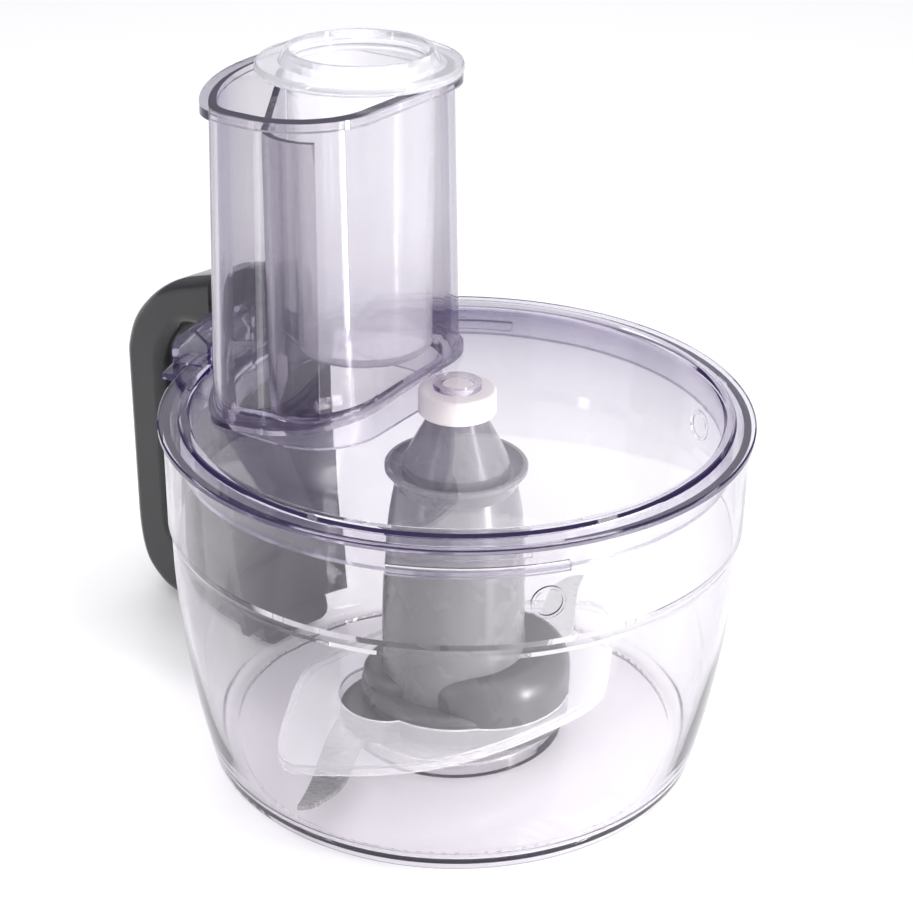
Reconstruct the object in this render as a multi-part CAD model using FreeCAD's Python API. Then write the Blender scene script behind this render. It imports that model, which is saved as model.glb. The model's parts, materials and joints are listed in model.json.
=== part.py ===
import FreeCAD, Part
import math
import os

# Food processor bowl assembly, millimetres, +Z up.
# Origin: centre of the bowl's foot ring, on the surface it stands on.
# +Y points to the back. Azimuths are counted from +Y towards -X, so the handle is back left.

Vector = FreeCAD.Vector
UP = Vector(0, 0, 1)
ORIGIN = Vector(0, 0, 0)

# ---- bowl -------------------------------------------------------------------------------
wall = 2.4
foot_r = 81.0
foot_width = 3.4
corner_r, corner_z = 85.6, 4.2
floor_low = 1.2
floor_top = 3.8
waist_r, waist_z = 91.9, 38.0
step_r, step_z = 95.4, 86.0
rim_r, rim_z = 96.4, 122.4
step_rise = 4.0
tower_r, tower_top = 18.0, 46.0
tower_foot_r = 19.5
splash_ring_r, splash_ring_top = 38.4, 8.0
ledge_low, ledge_top, ledge_depth = 113.4, 116.4, 1.6
ledge_spans = (167.5, 201.0), (347.5, 381.0)
mark_r, mark_height = 5.4, 0.7
mark_places = (196.5, 105.0), (296.0, 98.5)     # azimuth and height

# ---- drive line -------------------------------------------------------------------------
shaft_r, shaft_low, shaft_top = 5.0, 24.0, 121.6
journal_r, journal_top = 4.0, 127.6
running_gap = 0.05
bush_r, bush_low, bush_flange = 9.0, 41.0, 1.4
coupling_r, coupling_low, coupling_top = 12.5, 9.0, 38.0
socket_r, socket_depth = 6.5, 14.0
socket_grooves, groove_r = 6, 1.1
pin_r, pin_z = 1.5, 31.0

# ---- knife ------------------------------------------------------------------------------
hub_r, hub_low, hub_neck_r, hub_neck_z = 25.1, 9.0, 20.6, 96.5
hub_bore_r = 22.4
saucer_r, saucer_top, saucer_floor = 24.0, 103.7, 100.0
cone_foot_r, cone_top_r, cone_top = 18.2, 9.8, 121.2
blade_thick = 1.8
lower_blade_z, upper_blade_z, upper_blade_turn = 10.0, 23.6, 180
carrier_r, carrier_top = 32.4, 23.0
cover_thick, cover_z, cover_skirt = 1.5, 18.4, 2.5
wing_x, wing_semi_x, wing_semi_y, wing_top, wing_round = 13.0, 27.5, 30.5, 36.0, 8.0

# ---- bearing cap ------------------------------------------------------------------------
cap_r, cap_low, cap_top = 12.9, 122.0, 130.2
cap_spigot_r, cap_spigot_top = 5.2, 131.7
cap_bush_r = 6.4

# ---- lid --------------------------------------------------------------------------------
flange_r, flange_low, flange_top = 98.0, 122.8, 125.2
skirt_r, skirt_in_r, skirt_low = 91.0, 87.6, 113.0
bead_top = 126.6
dome_rise = 9.6
lid_wall = 2.4
lug_depth, lug_low, lug_height = 0.8, 118.2, 2.2
lug_azimuths, lug_half_angle = (186.0, 6.0), 8.0
socket_ring_r, socket_ring_in_r, socket_ring_low = 8.0, 5.6, 130.6

# ---- feed tube: an oval whose long axis leans towards the back right ----------------------
tube_turn = 57.0            # degrees from +X to the tube's long axis
tube_front, tube_back = -57.8, 35.0
tube_flat = 11.2            # distance of the flat inner side from the bowl's axis
tube_arc_r = 78.4           # outer side, concentric with the bowl
tube_draft = 1.4            # each wall leans in by this much over half the height
tube_corner_r, tube_outer_corner_r = 27.0, 16.0
tube_wall = 2.4
tube_foot_bead, tube_foot_rise = 1.5, 2.2
tube_lip_low, tube_top, tube_lip = 227.2, 230.0, 2.8
throat_front, throat_back, throat_flat, throat_arc_r = -49.0, 29.0, 14.0, 76.0
throat_low = 117.0
throat_corner_r, throat_outer_corner_r = 24.0, 14.0

# ---- pusher and the tube's divider -----------------------------------------------------------------
pusher_x, pusher_y = -32.4, 26.6
pusher_r, pusher_wall, pusher_foot = 23.6, 1.8, 136.0
pusher_foot_r = 22.6
pusher_flange_r, pusher_flange_low, pusher_flange_thick = 33.6, 230.3, 3.3
pusher_ring_top = 237.4
divider_x, divider_y, divider_r = -43.4, -11.0, 17.0
divider_wall, divider_low, divider_top = 2.2, 127.0, 222.5

# ---- handle, in the plane at handle_azimuth -------------------------------------------------
handle_azimuth = 46.0
handle_width = 32.0
handle_round = 5.0
grip_out, grip_in = 161.0, 138.6
handle_top = 145.0
handle_foot, handle_foot_in = 2.4, 22.0
handle_low, arm_in = 121.8, 99.4
foot_reach = 84.0
plate_half_angle = 17.0
plate_gap, plate_thick = 0.3, 3.0
plate_low, plate_top = 12.0, 121.4
channel_out, channel_half = 112.0, 13.0
notch_in, notch_out, notch_floor, notch_end = 99.0, 108.4, 125.4, -2.0
screw_r, screw_head_r, screw_head_thick, screw_length = 2.0, 3.6, 2.4, 26.0
screw_reach, screw_side = 106.6, 5.0
screw_top, screw_bottom = 130.0, 4.6
cover_low = 134.0

# ---- interlock ------------------------------------------------------------------------------
rod_reach, rod_side = 104.6, -7.0
rod_r, rod_low, rod_top = 2.5, 34.0, 126.6
rod_collar_r, rod_collar_z = 4.0, 58.0
spring_r, spring_wire_r, spring_turns = 3.5, 0.65, 8
channel_bore_r = 4.6
tongue_from, tongue_to = 56.5, 72.0
tongue_in_r, tongue_out_r, tongue_top = 88.5, 103.0, 139.0
nose_in_r, nose_out_r, nose_low, nose_top = 101.0, 106.6, 126.8, 132.6
nose_tip_azimuth = 49.2


def point_at(azimuth, reach, side, z):
    """World point from a plane at an azimuth: reach outwards, side clockwise, z up."""
    a = math.radians(azimuth)
    return Vector(-math.sin(a) * reach + math.cos(a) * side,
                  math.cos(a) * reach + math.sin(a) * side, z)


def face_of(start, steps):
    """Closed face from straight steps (end), arc steps (middle, end) and ready-made edges."""
    edges = []
    here = start
    for step in steps + [start]:
        if isinstance(step, Part.Edge):
            edges.append(step)
            end = step.valueAt(step.LastParameter)
        elif isinstance(step, tuple):
            middle, end = step
            edges.append(Part.Arc(here, middle, end).toShape())
        else:
            end = step
            if (end - here).Length < 1e-6:
                continue
            edges.append(Part.makeLine(here, end))
        here = end
    return Part.Face(Part.Wire(edges))


def smooth_edge(points, start_direction, end_direction):
    curve = Part.BSplineCurve()
    curve.interpolate(Points=points, InitialTangent=start_direction, FinalTangent=end_direction)
    return curve.toShape()


def rz(r, z):
    return Vector(r, 0, z)


def revolved(start, *steps):
    """Solid of revolution about Z from a closed outline in radius and height."""
    return face_of(start, list(steps)).revolve(ORIGIN, UP, 360)


def ring(outer_r, inner_r, low, high, x=0, y=0):
    base = Vector(x, y, low)
    solid = Part.makeCylinder(outer_r, high - low, base)
    if inner_r > 0:
        solid = solid.cut(Part.makeCylinder(inner_r, high - low, base))
    return solid


def sector(outer_r, inner_r, low, high, from_azimuth, to_azimuth):
    """Part of a ring between two azimuths, in degrees from +Y towards -X."""
    profile = face_of(rz(inner_r, low), [rz(outer_r, low), rz(outer_r, high), rz(inner_r, high)])
    solid = profile.revolve(ORIGIN, UP, to_azimuth - from_azimuth)
    solid.rotate(ORIGIN, UP, 90 + from_azimuth)
    return solid


def fused(shapes):
    body = shapes[0]
    for shape in shapes[1:]:
        body = body.fuse(shape)
    return body.removeSplitter()


def largest_solid(shape):
    return max(shape.Solids, key=lambda solid: solid.Volume)


# ---- bowl -----------------------------------------------------------------------------------
def bowl_envelope(gap):
    """Solid that follows the bowl's outer wall at a distance."""
    return revolved(rz(0, -1), rz(foot_r + gap, -1), rz(foot_r + gap, 0),
                    (rz(corner_r - 1.3 + gap, 1.3), rz(corner_r + gap, corner_z)),
                    (rz(waist_r + gap, waist_z), rz(step_r + gap, step_z)), rz(rim_r + gap, step_z + step_rise),
                    rz(rim_r + gap, rim_z), rz(0, rim_z))


def bowl_solid():
    """The bowl as it is moulded: foot ring, wall, floor and the hollow tower that carries the shaft."""
    return revolved(
        rz(foot_r - foot_width, 0), rz(foot_r, 0), (rz(corner_r - 1.3, 1.3), rz(corner_r, corner_z)),
        (rz(waist_r, waist_z), rz(step_r, step_z)), rz(rim_r, step_z + step_rise), rz(rim_r, rim_z),
        rz(rim_r - wall, rim_z), rz(rim_r - wall, step_z + step_rise + 1), rz(step_r - wall, step_z + 1),
        (rz(waist_r - wall, waist_z), rz(corner_r - wall + 0.6, floor_top + 6)),
        (rz(corner_r - wall - 1.3, floor_top + 1.5), rz(corner_r - wall - 6, floor_top)),
        rz(tower_foot_r + 2, floor_top),
        (rz(tower_foot_r + 0.4, floor_top + 0.6), rz(tower_foot_r, floor_top + 2.4)),
        rz(tower_r, tower_top - 2), rz(tower_r - 2, tower_top), rz(bush_r, tower_top),
        rz(bush_r, tower_top - 4), rz(tower_r - wall - 1, tower_top - 4),
        rz(tower_foot_r - wall, floor_low), rz(foot_r - foot_width, floor_low))


def floor_region():
    return Part.makeCylinder(foot_r - foot_width, tower_top + 1)


def bowl():
    """Side wall with its foot ring, the rim's ledges and two moulded marks."""
    parts = [bowl_solid().cut(floor_region())]
    for from_azimuth, to_azimuth in ledge_spans:
        parts.append(sector(rim_r - wall / 2, rim_r - wall - ledge_depth, ledge_low, ledge_top,
                            from_azimuth, to_azimuth))
    for azimuth, z in mark_places:
        parts.append(wall_mark(azimuth, z))
    return fused(parts)


def bowl_floor():
    """Floor and tower, of one piece with the wall, with a low ring that keeps liquid off the shaft."""
    ring_wall = revolved(rz(splash_ring_r - wall, floor_top), rz(splash_ring_r, floor_top),
                         rz(splash_ring_r - 1, splash_ring_top), rz(splash_ring_r - wall, splash_ring_top))
    return fused([bowl_solid().common(floor_region()), ring_wall])


def wall_mark(azimuth, z):
    """Round moulded disc mark standing a little proud of the bowl's upper wall."""
    centre = point_at(azimuth, rim_r - wall / 2, 0, z)
    outwards = point_at(azimuth, 1, 0, 0)
    disc = Part.makeCylinder(mark_r, wall, centre, outwards)
    hollow = Part.makeCylinder(mark_r - 1, wall, centre, outwards)
    return disc.cut(hollow).common(ring(rim_r + mark_height, rim_r - wall / 2, z - 10, z + 10))


# ---- drive line -------------------------------------------------------------------------------
def shaft_bush():
    barrel = ring(bush_r, shaft_r + running_gap, bush_low, tower_top)
    flange = ring(bush_r + 3, shaft_r + running_gap, tower_top, tower_top + bush_flange)
    return fused([barrel, flange])


def shaft_seal():
    low = tower_top + bush_flange
    return revolved(rz(shaft_r + running_gap, low), rz(bush_r + 2.5, low), rz(bush_r + 2.5, low + 1),
                    rz(bush_r, low + 1.6), rz(shaft_r + running_gap + 0.8, low + 3.2),
                    rz(shaft_r + running_gap, low + 3.2))


def drive_shaft():
    return revolved(rz(0, shaft_low), rz(shaft_r, shaft_low), rz(shaft_r, shaft_top),
                    rz(journal_r, shaft_top), rz(journal_r, journal_top - 0.6),
                    rz(journal_r - 0.6, journal_top), rz(0, journal_top)).cut(pin_cylinder())


def pin_cylinder():
    inset = 1.5
    return Part.makeCylinder(pin_r, 2 * (coupling_r - inset), Vector(inset - coupling_r, 0, pin_z), Vector(1, 0, 0))


def drive_coupling():
    """Dog under the bowl that the power unit's splined spindle enters from below."""
    socket_top = coupling_low + socket_depth + 1
    body = revolved(rz(socket_r, coupling_low), rz(coupling_r - 1, coupling_low),
                    rz(coupling_r, coupling_low + 1), rz(coupling_r, coupling_top),
                    rz(shaft_r, coupling_top), rz(shaft_r, socket_top), rz(socket_r, socket_top))
    for i in range(socket_grooves):
        a = math.radians(360 / socket_grooves * (i + 0.5))
        centre = Vector((socket_r + 1.6) * math.cos(a), (socket_r + 1.6) * math.sin(a), coupling_low)
        body = body.cut(Part.makeCylinder(groove_r, socket_depth, centre))
    return body.cut(pin_cylinder())


def thrust_washer():
    return ring(bush_r, shaft_r, coupling_top + 0.2, coupling_top + 1.8)


def circlip():
    low = tower_top + bush_flange + 3.6
    gap = Part.makeBox(3, 10, 2, Vector(-1.5, -10, low - 0.5))
    return ring(shaft_r + 2.4, shaft_r, low, low + 1.0).cut(gap)


# ---- knife ------------------------------------------------------------------------------------
def knife_hub():
    return revolved(
        rz(hub_bore_r, hub_low), rz(hub_r, hub_low), rz(hub_r, 36), (rz(hub_r - 0.4, 58), rz(hub_r - 1.4, 73)),
        (rz(22.6, 85), rz(hub_neck_r, hub_neck_z)), (rz(21.6, 98.6), rz(saucer_r, saucer_top - 1.6)),
        rz(saucer_r, saucer_top - 0.4), rz(saucer_r - 0.4, saucer_top), rz(saucer_r - 1.6, saucer_top),
        (rz(20.6, saucer_floor + 0.8), rz(19.4, saucer_floor)), rz(shaft_r, saucer_floor),
        rz(shaft_r, 56), rz(9.0, 56), rz(9.6, 96), rz(17.6, 96), (rz(20.2, 84), rz(hub_bore_r - 0.4, 72)),
        rz(hub_bore_r, 62))


def knife_cone():
    return revolved(rz(shaft_r, saucer_floor), rz(cone_foot_r, saucer_floor), rz(cone_foot_r - 0.3, 104.6),
                    (rz(14.4, 111.6), rz(10.8, 118.2)), rz(cone_top_r, cone_top), rz(shaft_r, cone_top))


def blade_outline(z):
    """Sabre blade: a convex back, a hollow cutting edge and a square-cut tip."""
    back = [Vector(-26, 6, z), Vector(-37.5, -9, z), Vector(-44.6, -38, z), Vector(-49.6, -64.6, z)]
    edge = [Vector(-42.0, -61.6, z), Vector(-36.8, -55, z), Vector(-32.8, -40, z), Vector(-27, -24, z)]
    back_curve = Part.BSplineCurve()
    back_curve.interpolate(back)
    edge_curve = Part.BSplineCurve()
    edge_curve.interpolate(edge)
    tip = Part.Arc(back[-1], Vector(-46.2, -64.6, z), edge[0]).toShape()
    root = Part.makeLine(edge[-1], back[0])
    return Part.Face(Part.Wire([back_curve.toShape(), tip, edge_curve.toShape(), root]))


def sabre_blade(z, turn):
    blade = blade_outline(z).extrude(Vector(0, 0, blade_thick))
    top = [e for e in blade.Edges
           if abs(e.BoundBox.ZMin - z - blade_thick) < 1e-3 and abs(e.BoundBox.ZMax - z - blade_thick) < 1e-3]
    cutting = max(top, key=lambda e: e.CenterOfMass.x if e.Length > 30 else -1e9)
    blade = blade.makeChamfer(1.2, [cutting])
    blade.rotate(ORIGIN, UP, turn)
    return blade


def lobe(x, y, semi_x, semi_y, low, high, turn=0, rounding=2.5):
    curve = Part.Ellipse(Vector(x, y, low), max(semi_x, semi_y), min(semi_x, semi_y)).toShape()
    if semi_y > semi_x:
        curve.rotate(Vector(x, y, low), UP, 90)
    curve.rotate(Vector(x, y, low), UP, turn)
    body = Part.Face(Part.Wire([curve])).extrude(Vector(0, 0, high - low))
    crown = [e for e in body.Edges if e.BoundBox.ZLength < 1e-3 and e.BoundBox.ZMin > high - 0.1]
    return body.makeFillet(rounding, crown)


def blade_carrier():
    """Collar round the hub's foot with a low wing for one blade and a high wing for the other."""
    collar = revolved(rz(hub_r - 1, hub_low), rz(carrier_r - 2, hub_low), rz(carrier_r, hub_low + 3),
                      rz(carrier_r, carrier_top - 4),
                      (rz(carrier_r - 1, carrier_top - 1), rz(carrier_r - 4, carrier_top)),
                      rz(hub_r - 1, carrier_top))
    low_wing = lobe(-22, -8, 17.5, 19.5, hub_low, 16.5, -12)
    shoulder = lobe(-14, -1, 17.5, 17.4, hub_low, 28, 0)
    high_wing = lobe(wing_x, -1, wing_semi_x, wing_semi_y, hub_low + 1, wing_top, -10, wing_round)
    body = fused([collar, low_wing, shoulder, high_wing])
    body = body.cut(Part.makeCylinder(hub_r, 60, Vector(0, 0, 0)))
    body = body.cut(lower_blade()).cut(upper_blade())
    return largest_solid(body)


def lower_blade():
    blade = sabre_blade(lower_blade_z, 0)
    return largest_solid(blade.cut(Part.makeCylinder(hub_r, 60, Vector(0, 0, 0))))


def upper_blade():
    blade = sabre_blade(upper_blade_z, upper_blade_turn)
    return largest_solid(blade.cut(Part.makeCylinder(hub_r, 60, Vector(0, 0, 0))))


def cover_prism(inset, low, high):
    """S-shaped prism: the same swept wing on both sides of the shaft."""
    wing = [(-57.6, -26), (-58.2, -42), (-54.5, -52.5), (-42, -55), (-24, -54.5), (-3, -49.5),
            (23, -35), (39, -22), (50.7, -9), (56, 10)]
    points = []
    for turn in (1, -1):
        for x, y in wing:
            shrink = 1 - inset / math.hypot(x, y)
            points.append(Vector(turn * x * shrink, turn * y * shrink, low))
    curve = Part.BSplineCurve()
    curve.interpolate(Points=points, PeriodicFlag=True)
    return Part.Face(Part.Wire([curve.toShape()])).extrude(Vector(0, 0, high - low))


def blade_cover():
    """Clear guard: a flat S-shaped sheet between the blades, with a short rim turned down."""
    plate = cover_prism(0, cover_z - cover_skirt, cover_z + cover_thick)
    plate = plate.cut(cover_prism(cover_thick, cover_z - cover_skirt - 1, cover_z))
    collar_hole = Part.makeCylinder(carrier_r + 0.3, 100)
    wing_hole = lobe(wing_x, -1, wing_semi_x + 0.4, wing_semi_y + 0.4, 0, 100, -10)
    shoulder_hole = lobe(-22, -8, 17.9, 19.9, 0, 100, -12)
    return largest_solid(plate.cut(collar_hole).cut(wing_hole).cut(shoulder_hole))


# ---- bearing cap --------------------------------------------------------------------------------
def bearing_cap():
    return revolved(rz(cap_bush_r, cap_low), rz(cap_r - 0.5, cap_low), rz(cap_r, cap_low + 0.5),
                    rz(cap_r, cap_top - 1.2), (rz(cap_r - 0.35, cap_top - 0.35), rz(cap_r - 1.2, cap_top)),
                    rz(cap_spigot_r, cap_top), rz(cap_spigot_r, cap_spigot_top - 0.5),
                    rz(cap_spigot_r - 0.5, cap_spigot_top), rz(0, cap_spigot_top), rz(0, journal_top + 1.2),
                    rz(cap_bush_r, journal_top + 1.2))


def cap_bush():
    return revolved(rz(journal_r + running_gap, cap_low + 0.2), rz(cap_bush_r, cap_low + 0.2),
                    rz(cap_bush_r, journal_top + 1.2), rz(0, journal_top + 1.2), rz(0, journal_top + 0.3),
                    rz(journal_r + running_gap, journal_top + 0.3))


# ---- lid ------------------------------------------------------------------------------------------
def oval_prism(front, back, flat, arc_r, corner_r, outer_corner_r, low, high):
    """Upright prism: a flat inner side, two rounded ends and an outer side concentric with the bowl."""
    slab = Part.makeBox(back - front, 200, high - low, Vector(front, flat, low))
    body = slab.common(Part.makeCylinder(arc_r, high - low, Vector(0, 0, low)))
    upright = [e for e in body.Edges if abs(e.BoundBox.ZLength - (high - low)) < 1e-3]
    inner = [e for e in upright if e.CenterOfMass.y < flat + 1]
    outer = [e for e in upright if e.CenterOfMass.y > flat + 1]
    body = body.makeFillet(corner_r, inner)
    upright = [e for e in body.Edges if abs(e.BoundBox.ZLength - (high - low)) < 1e-3]
    sharp = [e for e in upright for c in outer if (e.CenterOfMass - c.CenterOfMass).Length < 0.5]
    body = body.makeFillet(outer_corner_r, sharp)
    body.rotate(ORIGIN, UP, tube_turn)
    return body


def tube_section(inset, z):
    prism = oval_prism(tube_front + inset, tube_back - inset, tube_flat + inset, tube_arc_r - inset,
                       tube_corner_r - inset, tube_outer_corner_r - inset, z, z + 10)
    base = min(prism.Faces, key=lambda face: face.CenterOfMass.z)
    return base.OuterWire


def tube_solid(inset, low, high):
    """Feed tube volume with drafted walls, widest at the deck."""
    middle = (flange_top + tube_top) / 2
    half = (tube_top - flange_top) / 2
    ends = [tube_section(inset + tube_draft * (z - middle) / half, z) for z in (low, high)]
    return Part.makeLoft(ends, True, True)


def throat_prism(inset, low, high):
    return oval_prism(throat_front + inset, throat_back - inset, throat_flat + inset, throat_arc_r - inset,
                      throat_corner_r - inset, throat_outer_corner_r - inset, low, high)


def dome_solid(drop):
    """Solid under the lid's domed deck, lowered by drop."""
    edge_z = flange_top - drop
    return revolved(rz(0, flange_low - 4), rz(skirt_in_r, flange_low - 4), rz(skirt_in_r, edge_z),
                    (rz(skirt_in_r * 0.52, edge_z + dome_rise * 0.735), rz(0, edge_z + dome_rise)))


def lid():
    """Rim, skirt and domed deck, with two lugs that slide along above the bowl's ledges."""
    rim = revolved(
        rz(skirt_in_r, skirt_low), rz(skirt_r, skirt_low), rz(skirt_r, flange_low),
        rz(flange_r - 0.4, flange_low),
        rz(flange_r, flange_low + 0.4), rz(flange_r, flange_top - 0.5), rz(flange_r - 0.5, flange_top),
        rz(skirt_r + 0.6, flange_top), rz(skirt_r, bead_top - 0.3), rz(skirt_r - 0.6, bead_top),
        rz(skirt_in_r + 0.8, bead_top), rz(skirt_in_r, flange_top - 0.2))
    deck = dome_solid(0).cut(dome_solid(lid_wall))
    deck = deck.cut(Part.makeCylinder(200, 50, Vector(0, 0, flange_low - lid_wall - 50)))
    parts = [rim, deck]
    for azimuth in lug_azimuths:
        parts.append(sector(skirt_r + lug_depth, skirt_r - 1, lug_low, lug_low + lug_height,
                            azimuth - lug_half_angle, azimuth + lug_half_angle))
    body = fused(parts).cut(throat_volume())
    return largest_solid(body)


def throat_volume():
    return throat_prism(0, throat_low, flange_top + dome_rise + 5)


def lid_throat():
    """Open chute through the deck, which carries the food on down to the knife."""
    outside = throat_prism(0, throat_low, flange_top + dome_rise).common(dome_solid(0))
    return largest_solid(outside.cut(throat_prism(lid_wall, throat_low - 1, flange_top + dome_rise + 5)))


def lid_socket():
    """Locating ring under the middle of the deck, round the bearing cap's spigot."""
    tube = ring(socket_ring_r, socket_ring_in_r, socket_ring_low, flange_top + dome_rise)
    return largest_solid(tube.common(dome_solid(lid_wall)))


def feed_tube():
    base = tube_solid(0, flange_low, tube_top).cut(dome_solid(0))
    lip = tube_solid(-tube_lip, tube_lip_low, tube_top)
    bead = tube_solid(-tube_foot_bead, flange_low, flange_top + dome_rise + 10)
    bead = bead.common(dome_solid(-tube_foot_rise)).cut(dome_solid(0))
    body = fused([base, lip, largest_solid(bead)])
    body = body.cut(tube_solid(tube_wall, flange_low - 1, tube_top + 1))
    return largest_solid(body)


def tube_divider():
    """Wall across the feed tube: a quarter round from the front wall, then straight to the back wall."""
    rounded = ring(divider_r, divider_r - divider_wall, divider_low, divider_top, divider_x, divider_y)
    quarter = Part.makeBox(60, 60, 200, Vector(divider_x - 60, divider_y - 60, 50))
    straight = Part.makeBox(divider_wall, 100, divider_top - divider_low,
                            Vector(divider_x - divider_r, divider_y, divider_low))
    wall_shape = fused([rounded.common(quarter), straight])
    return largest_solid(wall_shape.common(tube_solid(tube_wall, flange_low, tube_top)).cut(dome_solid(0)))


def interlock_tongue():
    """Clear hollow shoulder on the lid's rim, with a nose that presses the handle's rod."""
    def shell(shrink):
        profile = face_of(rz(tongue_in_r + shrink, flange_top), [
            rz(tongue_out_r - shrink, flange_top), rz(tongue_out_r - shrink, tongue_top - 9),
            (rz(tongue_out_r - 3.6 - shrink, tongue_top - 2.6 - shrink),
             rz(tongue_out_r - 8, tongue_top - shrink)),
            rz(tongue_in_r + 3, tongue_top - 3 - shrink), rz(tongue_in_r + shrink, tongue_top - 6)])
        margin = shrink * 0.7
        body = profile.revolve(ORIGIN, UP, tongue_to - tongue_from - 2 * margin)
        body.rotate(ORIGIN, UP, 90 + tongue_from + margin)
        return body
    body = shell(0).cut(shell(1.8))
    ear = sector(tongue_out_r, flange_r, flange_low, flange_top, tongue_from, tongue_to + 5)
    nose = sector(nose_out_r, nose_in_r, nose_low, nose_top, nose_tip_azimuth, tongue_from + 1)
    tip = point_at(nose_tip_azimuth, (nose_in_r + nose_out_r) / 2, 0, nose_low)
    ramp = Part.makeBox(12, 6, 6, Vector(-6, -6, -6))
    ramp.rotate(ORIGIN, Vector(1, 0, 0), -35)
    ramp.rotate(ORIGIN, UP, nose_tip_azimuth + 90)
    ramp.translate(Vector(tip.x, tip.y, nose_low + 2.4))
    return largest_solid(fused([body, ear, nose.cut(ramp)]))


def pusher():
    body = revolved(
        rz(0, pusher_foot), rz(pusher_foot_r - 1.5, pusher_foot), rz(pusher_foot_r, pusher_foot + 1.5),
        rz(pusher_r, pusher_flange_low), rz(pusher_flange_r - 0.8, pusher_flange_low),
        (rz(pusher_flange_r, pusher_flange_low + pusher_flange_thick / 2),
         rz(pusher_flange_r - 0.8, pusher_flange_low + pusher_flange_thick)),
        rz(pusher_r + 2.4, pusher_flange_low + pusher_flange_thick),
        (rz(pusher_r + 1.2, pusher_ring_top - 1.6), rz(pusher_r + 0.4, pusher_ring_top)),
        rz(pusher_r - pusher_wall + 0.6, pusher_ring_top),
        rz(pusher_r - pusher_wall, pusher_ring_top - 3), rz(pusher_foot_r - pusher_wall, pusher_foot + 3),
        rz(0, pusher_foot + 3))
    body.translate(Vector(pusher_x, pusher_y, 0))
    return body


# ---- handle ---------------------------------------------------------------------------------------
def handle_prism(points, half_width):
    """Prism across the handle's plane from (reach, z) corners, arcs ((middle), (end)) and curves [..]."""
    def world(p):
        return point_at(handle_azimuth, p[0], -half_width, p[1])

    def direction(p):
        return point_at(handle_azimuth, p[0], 0, p[1])
    steps = []
    for step in points[1:]:
        if isinstance(step, list):
            through = [world(p) for p in step[1:-1]]
            steps.append(smooth_edge(through, direction(step[0]), direction(step[-1])))
        elif isinstance(step[0], tuple):
            steps.append((world(step[0]), world(step[1])))
        else:
            steps.append(world(step))
    return face_of(world(points[0]), steps).extrude(point_at(handle_azimuth, 0, 2 * half_width, 0))


def handle_pin(r, height, reach, side, z):
    """Upright cylinder placed in the handle's plane."""
    return Part.makeCylinder(r, height, point_at(handle_azimuth, reach, side, z))


def handle_mount():
    """Curved plate on the bowl's wall with the hollow channel that the interlock rod runs in."""
    plate = sector(rim_r + 20, foot_r - 5, plate_low, plate_top,
                   handle_azimuth - plate_half_angle, handle_azimuth + plate_half_angle)
    plate = plate.common(bowl_envelope(plate_gap + plate_thick))
    channel = handle_prism([(foot_reach, plate_low), (channel_out, plate_low), (channel_out, plate_top),
                            (foot_reach, plate_top)], channel_half)
    body = fused([plate, channel]).cut(bowl_envelope(plate_gap))
    body = body.cut(channel_bore())
    for screw in (upper_screw(), lower_screw()):
        body = body.cut(screw)
    return largest_solid(body)


def channel_bore():
    return handle_pin(channel_bore_r, 200, rod_reach, rod_side, rod_low - 4)


def screw(z, upwards):
    """Pan-head screw with a cross recess, its head at height z."""
    turn = 1 if upwards else -1
    direction = Vector(0, 0, turn)
    base = point_at(handle_azimuth, screw_reach, screw_side, z)
    head = Part.makeCylinder(screw_head_r, screw_head_thick, base, direction)
    shank = Part.makeCylinder(screw_r, screw_length, base, direction)
    recess = Part.makeCone(1.6, 0.4, 1.6, base, direction)
    return fused([head, shank]).cut(recess)


def upper_screw():
    return screw(screw_top, False)


def lower_screw():
    return screw(screw_bottom, True)


def screw_room(z, room):
    """Counterbore above a screw head."""
    return handle_pin(screw_head_r + 0.4, room, screw_reach, screw_side, z)


def handle_grip():
    """D-shaped grip: a curved top arm, an upright grip and a foot that returns to the channel."""
    crown = [(1, 0), (105, handle_top), (114, 142.6), (124, 139.2), (138, 132.2), (150, 122.4), (157.4, 112.4),
             (160.2, 105), (grip_out, 97), (0, -1)]
    heel = [(0, -1), (grip_out, 36), (160, 22), (155.4, 10.4), (147.5, 4.6), (136, handle_foot), (-1, 0)]
    outer = [(arm_in, handle_low), (arm_in, handle_top - 5), (103, handle_top), (105, handle_top), crown,
             (grip_out, 36), heel, (foot_reach, handle_foot), (foot_reach, plate_low - 0.4),
             (channel_out, plate_low - 0.4), (channel_out, handle_foot_in)]
    palm_low = [(1, 0), (channel_out, handle_foot_in), (128, 24.4), (136, 30), (grip_in, 42), (0, 1)]
    palm_high = [(0, 1), (grip_in, 96), (137, 107), (130.6, 116), (channel_out, handle_low), (-1, 0)]
    inner = [palm_low, (grip_in, 96), palm_high]
    body = handle_prism(outer + inner, handle_width / 2)
    on_a_side = [e for e in body.Edges if abs(abs(side_of(e.CenterOfMass)) - handle_width / 2) < 0.01]
    round_over = [e for e in on_a_side if reach_of(e.CenterOfMass) > 115]
    body = body.makeFillet(handle_round, round_over)
    body = body.cut(Part.makeCylinder(flange_r + 1.4, 60, Vector(0, 0, 90))).cut(bowl_envelope(plate_gap))
    body = body.cut(notch()).cut(rod_clearance())
    for hole in (upper_screw(), lower_screw(), screw_room(screw_top, cover_low - screw_top),
                 screw_room(handle_foot - 1, screw_bottom - handle_foot + 1)):
        body = body.cut(hole)
    return largest_solid(body)


def side_of(p):
    a = math.radians(handle_azimuth)
    return p.x * math.cos(a) + p.y * math.sin(a)


def reach_of(p):
    a = math.radians(handle_azimuth)
    return -p.x * math.sin(a) + p.y * math.cos(a)


def notch():
    """Slot, open above and towards the front, that the lid's nose turns into."""
    return handle_box(notch_in, notch_out, -handle_width, notch_end, notch_floor, handle_top + 10)


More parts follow.
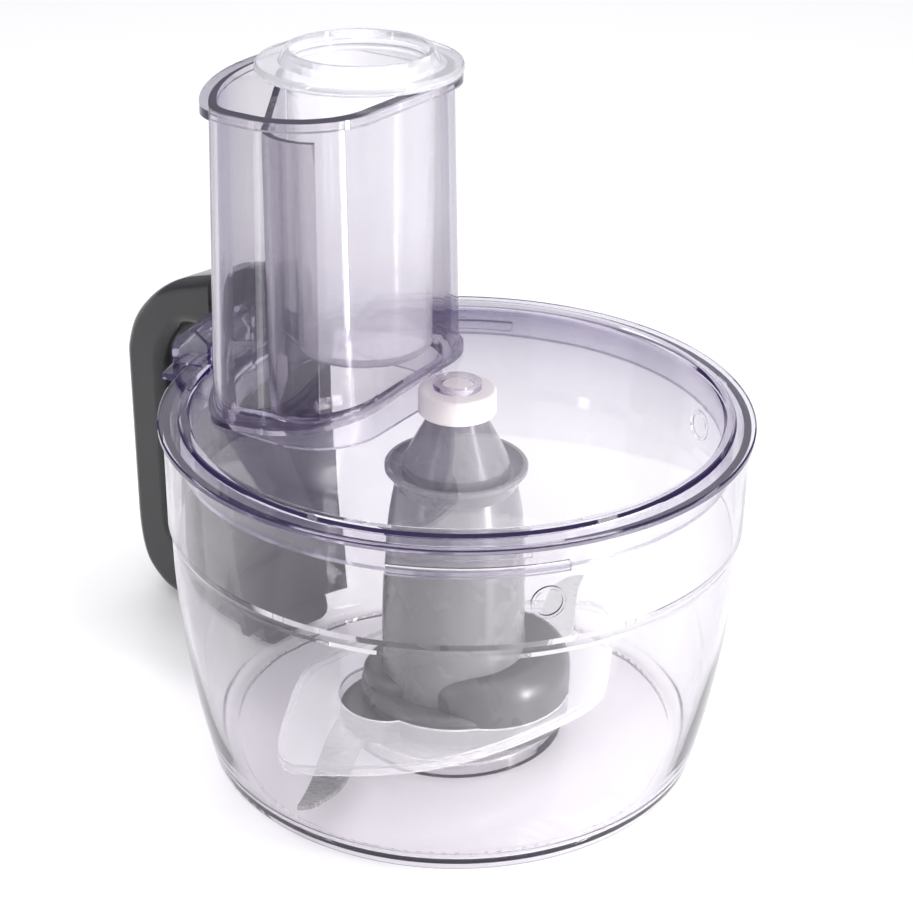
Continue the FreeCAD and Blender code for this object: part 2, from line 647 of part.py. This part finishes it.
def handle_box(reach_low, reach_high, side_low, side_high, low, high):
    corner = point_at(handle_azimuth, reach_low, side_low, low)
    box = Part.makeBox(side_high - side_low, reach_high - reach_low, high - low)
    box.rotate(ORIGIN, UP, handle_azimuth)
    box.translate(corner)
    return box


def rod_clearance():
    return handle_pin(rod_r + 0.4, 60, rod_reach, rod_side, plate_top - 10)


def handle_cover(grip):
    """Plug over the upper screw, flush with the crown of the handle."""
    plug = handle_pin(screw_head_r + 1.6, 30, screw_reach, screw_side, cover_low)
    return largest_solid(plug.common(grip))


def handle_screws():
    return Part.makeCompound([upper_screw(), lower_screw()])


# ---- interlock --------------------------------------------------------------------------------------
def interlock_rod():
    low_point = point_at(handle_azimuth, rod_reach, rod_side, rod_low)
    rod = Part.makeCylinder(rod_r, rod_top - rod_low, low_point)
    collar = Part.makeCylinder(rod_collar_r, 3, point_at(handle_azimuth, rod_reach, rod_side, rod_collar_z))
    body = fused([rod, collar])
    return body.makeFillet(0.8, [e for e in body.Edges if e.BoundBox.ZMin > rod_top - 0.1])


def interlock_spring():
    height = rod_collar_z - rod_low + 3.4 - 2 * spring_wire_r
    helix = Part.makeHelix(height / spring_turns, height, spring_r)
    section = Part.Wire([Part.makeCircle(spring_wire_r, Vector(spring_r, 0, 0), Vector(0, 1, 0))])
    spring = Part.Wire(helix).makePipeShell([section], True, True)
    spring.translate(point_at(handle_azimuth, rod_reach, rod_side, rod_low - 3.8 + spring_wire_r))
    return spring


def build():
    lid_body = lid()
    grip = handle_grip()
    cover = handle_cover(grip)
    nodes = {
        "bowl": bowl(),
        "bowl_floor": bowl_floor(),
        "shaft_bush": shaft_bush(),
        "shaft_seal": shaft_seal(),
        "drive_shaft": drive_shaft(),
        "drive_coupling": drive_coupling(),
        "coupling_pin": pin_cylinder(),
        "thrust_washer": thrust_washer(),
        "circlip": circlip(),
        "knife_hub": knife_hub(),
        "knife_cone": knife_cone(),
        "blade_carrier": blade_carrier(),
        "lower_blade": lower_blade(),
        "upper_blade": upper_blade(),
        "blade_cover": blade_cover(),
        "bearing_cap": bearing_cap(),
        "cap_bush": cap_bush(),
        "lid": lid_body,
        "lid_throat": lid_throat(),
        "lid_socket": lid_socket(),
        "feed_tube": feed_tube(),
        "tube_divider": tube_divider(),
        "interlock_tongue": largest_solid(interlock_tongue().cut(lid_body)),
        "pusher": pusher(),
        "handle_mount": handle_mount(),
        "handle_grip": grip.cut(cover),
        "handle_cover": cover,
        "handle_screws": handle_screws(),
        "interlock_rod": interlock_rod(),
        "interlock_spring": interlock_spring(),
    }
    os.makedirs("parts", exist_ok=True)
    for name, shape in nodes.items():
        shape.exportStep("parts/" + name + ".step")
        print(name, "valid" if shape.isValid() else "INVALID", len(shape.Solids), round(shape.Volume))


build()
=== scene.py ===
import json
import math

import bpy
from mathutils import Matrix, Vector

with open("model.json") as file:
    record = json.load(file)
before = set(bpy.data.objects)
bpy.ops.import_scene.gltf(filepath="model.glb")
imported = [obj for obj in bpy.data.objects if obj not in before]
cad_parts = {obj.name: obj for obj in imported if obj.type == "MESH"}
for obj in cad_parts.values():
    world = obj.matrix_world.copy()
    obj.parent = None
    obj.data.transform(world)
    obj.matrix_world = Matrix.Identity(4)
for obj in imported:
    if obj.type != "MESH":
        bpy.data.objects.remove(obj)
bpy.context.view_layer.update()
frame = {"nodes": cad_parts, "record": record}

nodes = frame["nodes"]
slots = {part["node"]: part["material_slot"] for part in frame["record"]["subparts"]}

# heights above the floor, in metres
rim_band = (0.119, 0.123)           # where the lid's edges turn to their full tint
tube_foot_shade_band = (0.125, 0.185)          # over which the feed tube gets paler upwards, from painted shade at its foot

plastic_ior = 1.46
edge_band = (0.5, 0.98)             # how far a face turns away, from the start of the edge tint to all of it
shadow_tint = (0.968, 0.965, 0.97)  # what a clear part leaves of the light that passes it

floor_half_size, floor_drop = 6.0, 0.0004
floor_colour, floor_roughness, floor_glow = (0.96, 0.96, 0.96), 0.3, 0.08

world_strength = 0.85
sky_ramp = (                        # height of the direction looked in, and colour
    (0.0, (0.135, 0.118, 0.22)),
    (0.2, (0.40, 0.385, 0.45)),
    (0.55, (0.95, 0.95, 0.97)),
)
backdrop_colour = (0.95, 0.95, 0.96)

lamps = (                           # name, position, target, width, height, power
    ("overhead", (0, 0.1, 1.5), (0, 0, 0.1), 1.8, 1.8, 9),
    ("left", (-1.1, -0.75, 0.5), (0, 0, 0.1), 0.10, 1.0, 1.4),
    ("right", (1.0, -0.6, 0.45), (0, 0, 0.1), 0.16, 0.95, 5),
    ("right_strip", (0.31, -0.21, 0.09), (0, 0, 0.09), 0.03, 0.18, 0.85),
    ("left_strip", (-0.34, -0.20, 0.08), (0, 0, 0.08), 0.05, 0.16, 0.06),
    ("back", (0, 1.7, 1.9), (0, 1.5, 0), 2.2, 1.2, 7),
)

camera_place = (0, -0.6, 0.4018)
camera_pitch, camera_roll, camera_field = math.radians(26.21), 0.0129, math.radians(25.66)


# ---- node helpers ---------------------------------------------------------------------------
def new_material(name):
    material = bpy.data.materials.new(name)
    material.use_nodes = True
    tree = material.node_tree
    return material, tree, tree.nodes["Principled BSDF"]


def add(tree, kind, **values):
    """New node; each value goes to the property of that name, or else to the input of that name."""
    node = tree.nodes.new(kind)
    for key, value in values.items():
        if hasattr(node, key):
            setattr(node, key, value)
        else:
            node.inputs[key.replace("_", " ")].default_value = value
    return node


def object_point(tree):
    return add(tree, "ShaderNodeTexCoord").outputs["Object"]


def height(tree):
    split = add(tree, "ShaderNodeSeparateXYZ")
    tree.links.new(object_point(tree), split.inputs[0])
    return split.outputs["Z"]


def noise(tree, scale, detail=3.0, stretch=None):
    texture = add(tree, "ShaderNodeTexNoise", Scale=scale, Detail=detail)
    source = object_point(tree)
    if stretch:
        mapping = add(tree, "ShaderNodeMapping")
        mapping.inputs["Scale"].default_value = stretch
        tree.links.new(source, mapping.inputs["Vector"])
        source = mapping.outputs["Vector"]
    tree.links.new(source, texture.inputs["Vector"])
    return texture.outputs["Fac"]


def spread(tree, source, low, high, from_low=0.3, from_high=0.7):
    """Map a value from one range to another; the default range is where most of a noise lies."""
    node = add(tree, "ShaderNodeMapRange")
    node.inputs["From Min"].default_value = from_low
    node.inputs["From Max"].default_value = from_high
    node.inputs["To Min"].default_value = low
    node.inputs["To Max"].default_value = high
    tree.links.new(source, node.inputs["Value"])
    return node.outputs["Result"]


def colour_sockets(sockets):
    return [socket for socket in sockets if socket.type == "RGBA"]


def two_colours(tree, factor, first, second):
    """Mix of two colours; each is a plain colour or the output of another node."""
    mix = add(tree, "ShaderNodeMix", data_type="RGBA")
    for socket, colour in zip(colour_sockets(mix.inputs), (first, second)):
        if isinstance(colour, tuple):
            socket.default_value = (*colour, 1)
        else:
            tree.links.new(colour, socket)
    tree.links.new(factor, mix.inputs["Factor"])
    return colour_sockets(mix.outputs)[0]


def bump(tree, shader, source, distance, strength):
    node = add(tree, "ShaderNodeBump", Distance=distance, Strength=strength)
    tree.links.new(source, node.inputs["Height"])
    tree.links.new(node.outputs["Normal"], shader.inputs["Normal"])


# ---- materials ------------------------------------------------------------------------------
def light_shadow(tree, surface):
    """Let shadow rays through a clear surface, so that it shades the things behind it only a little."""
    path = add(tree, "ShaderNodeLightPath")
    through = add(tree, "ShaderNodeBsdfTransparent")
    through.inputs["Color"].default_value = (*shadow_tint, 1)
    mix = add(tree, "ShaderNodeMixShader")
    tree.links.new(path.outputs["Is Shadow Ray"], mix.inputs[0])
    tree.links.new(surface, mix.inputs[1])
    tree.links.new(through.outputs[0], mix.inputs[2])
    tree.links.new(mix.outputs[0], tree.nodes["Material Output"].inputs["Surface"])


def edge_on(tree):
    """From 0 on a face seen square on to 1 where it turns away."""
    weight = add(tree, "ShaderNodeLayerWeight")
    weight.inputs["Blend"].default_value = 0.5
    return spread(tree, weight.outputs["Facing"], 0, 1, *edge_band)


def product(tree, first, second):
    node = add(tree, "ShaderNodeMath", operation="MULTIPLY")
    tree.links.new(first, node.inputs[0])
    tree.links.new(second, node.inputs[1])
    return node.outputs[0]


def clear_plastic(name, face, edge, depth, density, roughness=0.02, haze=0.0, ripple=0.0002,
                  upper=None, foot_shade_face=None, glow=(0.002, 0.0015, 0.004)):
    """Clear moulding: tinted a little where seen square on, more at its turning edges and in thick parts.

    upper is the band of heights over which the edges get their full tint; the face colour for the foot is a
    darker tint there, painted shade.
    """
    material, tree, shader = new_material(name)
    shader.inputs["Transmission Weight"].default_value = 1.0 - haze
    shader.inputs["IOR"].default_value = plastic_ior
    # The emission is painted light: a faint violet glow of the clear moulding, which is no lamp.
    shader.inputs["Emission Color"].default_value = (*glow, 1)
    shader.inputs["Emission Strength"].default_value = 1.0
    turned = edge_on(tree)
    if upper:
        turned = product(tree, turned, spread(tree, height(tree), 0.25, 1, *upper))
    # The feed tube darkens towards its foot: painted shade.
    if foot_shade_face:
        foot_shade_weight = spread(tree, height(tree), 1, 0, *tube_foot_shade_band)
        face = two_colours(tree, foot_shade_weight, face, foot_shade_face)
    tree.links.new(two_colours(tree, turned, face, edge), shader.inputs["Base Color"])
    polish = noise(tree, 60)
    waves = noise(tree, 35, 1.0)
    tree.links.new(spread(tree, polish, roughness * 0.6, roughness * 1.5), shader.inputs["Roughness"])
    bump(tree, shader, waves, ripple, 0.25)
    volume = add(tree, "ShaderNodeVolumeAbsorption")
    volume.inputs["Color"].default_value = (*depth, 1)
    volume.inputs["Density"].default_value = density
    tree.links.new(volume.outputs[0], tree.nodes["Material Output"].inputs["Volume"])
    light_shadow(tree, shader.outputs[0])
    return material


def gloss_plastic(name, dark, light, roughness, coat, gloss=0.5):
    """Opaque moulding: faintly clouded colour and gloss, with a fine grain."""
    material, tree, shader = new_material(name)
    clouds = noise(tree, 18)
    polish = noise(tree, 90)
    grain = noise(tree, 900, 2.0)
    colour = two_colours(tree, spread(tree, clouds, 0, 1), dark, light)
    tree.links.new(colour, shader.inputs["Base Color"])
    tree.links.new(spread(tree, polish, roughness * 0.8, roughness * 1.25), shader.inputs["Roughness"])
    shader.inputs["Specular IOR Level"].default_value = gloss
    shader.inputs["Coat Weight"].default_value = coat
    shader.inputs["Coat Roughness"].default_value = 0.08
    bump(tree, shader, grain, 0.000001, 0.5)
    return material


def steel(name, dark, light, roughness):
    """Brushed steel, with its lines running along X."""
    material, tree, shader = new_material(name)
    lines = noise(tree, 260, 4.0, (1, 14, 1))
    warm_light = (light, light * 0.99, light * 0.985)
    colour = two_colours(tree, spread(tree, lines, 0, 1), (dark, dark, dark), warm_light)
    tree.links.new(colour, shader.inputs["Base Color"])
    tree.links.new(spread(tree, lines, roughness * 0.7, roughness * 1.4), shader.inputs["Roughness"])
    shader.inputs["Metallic"].default_value = 1.0
    bump(tree, shader, lines, 0.000002, 0.5)
    return material


slot_materials = {
    "clear_plastic": clear_plastic("clear_plastic", face=(0.962, 0.954, 0.961), edge=(0.60, 0.58, 0.66),
                                   depth=(0.60, 0.56, 0.61), density=42, ripple=0.0004),
    "pusher_plastic": clear_plastic("pusher_plastic", face=(0.985, 0.985, 0.99), edge=(0.86, 0.86, 0.89),
                                    depth=(0.9, 0.9, 0.92), density=30, roughness=0.05, haze=0.2),
    "hub_plastic": gloss_plastic("hub_plastic", (0.155, 0.152, 0.156), (0.175, 0.172, 0.177), 0.25, 0.3),
    "handle_plastic": gloss_plastic("handle_plastic", (0.030, 0.031, 0.031), (0.038, 0.040, 0.040), 0.2, 0.1,
                                    gloss=0.25),
    "cap_plastic": gloss_plastic("cap_plastic", (0.93, 0.89, 0.80), (0.97, 0.93, 0.85), 0.38, 0.1),
    "bearing_plastic": gloss_plastic("bearing_plastic", (0.62, 0.60, 0.54), (0.70, 0.68, 0.61), 0.4, 0.0),
    "coupling_plastic": gloss_plastic("coupling_plastic", (0.018, 0.018, 0.02), (0.03, 0.03, 0.033), 0.45,
                                      0.0),
    "seal_rubber": gloss_plastic("seal_rubber", (0.012, 0.012, 0.012), (0.02, 0.02, 0.02), 0.6, 0.0),
    "blade_steel": steel("blade_steel", 0.34, 0.44, 0.25),
}
# The glow given to the lid and the feed tube is painted violet light.
lid_clear = clear_plastic("lid_clear", face=(0.948, 0.941, 0.949), edge=(0.31, 0.27, 0.46),
                          depth=(0.52, 0.46, 0.60), density=40, upper=rim_band, glow=(0.004, 0.002, 0.012))
# The feed tube's clear colour is darker than the lid's, most of all at its foot: painted shade.
tube_clear = clear_plastic("tube_clear", face=(0.78, 0.768, 0.778), edge=(0.20, 0.165, 0.34),
                           depth=(0.56, 0.515, 0.61), density=46, foot_shade_face=(0.52, 0.495, 0.54),
                           glow=(0.003, 0.002, 0.008))
cover_clear = clear_plastic("cover_clear", face=(0.985, 0.983, 0.985), edge=(0.78, 0.76, 0.8),
                            depth=(0.8, 0.78, 0.81), density=40, roughness=0.05, haze=0.22)
own_materials = {
    "lid": lid_clear,
    "lid_throat": lid_clear,
    "lid_socket": lid_clear,
    "interlock_tongue": lid_clear,
    "feed_tube": tube_clear,
    "tube_divider": tube_clear,
    "blade_cover": cover_clear,
    "blade_carrier": gloss_plastic("carrier_plastic", (0.085, 0.083, 0.085), (0.10, 0.098, 0.10), 0.3, 0.1),
    "upper_blade": steel("upper_blade_steel", 0.84, 0.93, 0.35),
}

for name, node in nodes.items():
    node.data.materials.clear()
    node.data.materials.append(own_materials.get(name, slot_materials[slots[name]]))
    for face in node.data.polygons:
        face.material_index = 0


# ---- stage ----------------------------------------------------------------------------------
def make_floor():
    size = floor_half_size
    mesh = bpy.data.meshes.new("floor")
    corners = [(-size, -size, 0), (size, -size, 0), (size, size, 0), (-size, size, 0)]
    mesh.from_pydata(corners, [], [(0, 1, 2, 3)])
    floor = bpy.data.objects.new("floor", mesh)
    bpy.context.scene.collection.objects.link(floor)
    floor.location.z = -floor_drop
    material, tree, shader = new_material("floor")
    shader.inputs["Base Color"].default_value = (*floor_colour, 1)
    shader.inputs["Roughness"].default_value = floor_roughness
    shader.inputs["Emission Color"].default_value = (1, 1, 1, 1)
    shader.inputs["Emission Strength"].default_value = floor_glow
    mesh.materials.append(material)


def area_light(name, position, target, width, height, power):
    data = bpy.data.lights.new(name, "AREA")
    data.shape = "RECTANGLE"
    data.size, data.size_y = width, height
    data.energy = power
    lamp = bpy.data.objects.new(name, data)
    bpy.context.scene.collection.objects.link(lamp)
    lamp.location = position
    lamp.visible_camera = False
    lamp.rotation_euler = (Vector(target) - Vector(position)).to_track_quat("-Z", "Y").to_euler()


def make_world():
    """Pale studio: bright overhead, darker towards the horizon, which draws the edges of the clear parts."""
    world = bpy.data.worlds.new("studio")
    world.use_nodes = True
    tree = world.node_tree
    ramp = add(tree, "ShaderNodeValToRGB")
    stops = ramp.color_ramp.elements
    stops.remove(stops[1])
    for position, colour in sky_ramp:
        stop = stops[0] if position == 0 else stops.new(position)
        stop.color = (*colour, 1)
    split = add(tree, "ShaderNodeSeparateXYZ")
    tree.links.new(add(tree, "ShaderNodeTexCoord").outputs["Generated"], split.inputs[0])
    tree.links.new(split.outputs["Z"], ramp.inputs["Fac"])
    from_camera = add(tree, "ShaderNodeLightPath").outputs["Is Camera Ray"]
    seen = two_colours(tree, from_camera, ramp.outputs["Color"], backdrop_colour)
    tree.links.new(seen, tree.nodes["Background"].inputs["Color"])
    tree.nodes["Background"].inputs["Strength"].default_value = world_strength
    bpy.context.scene.world = world


def make_camera():
    forward = Vector((0, math.cos(camera_pitch), -math.sin(camera_pitch)))
    level = Vector((1, 0, 0))
    upright = level.cross(forward)
    right = math.cos(camera_roll) * level + math.sin(camera_roll) * upright
    up = math.cos(camera_roll) * upright - math.sin(camera_roll) * level
    data = bpy.data.cameras.new("camera")
    data.angle = camera_field
    data.clip_start = 0.01
    camera = bpy.data.objects.new("camera", data)
    bpy.context.scene.collection.objects.link(camera)
    turn = Matrix((right, up, -forward)).transposed().to_4x4()
    camera.matrix_world = Matrix.Translation(camera_place) @ turn
    bpy.context.scene.camera = camera


make_floor()
make_world()
for lamp in lamps:
    area_light(*lamp)
make_camera()
bpy.context.scene.view_settings.view_transform = "Standard"
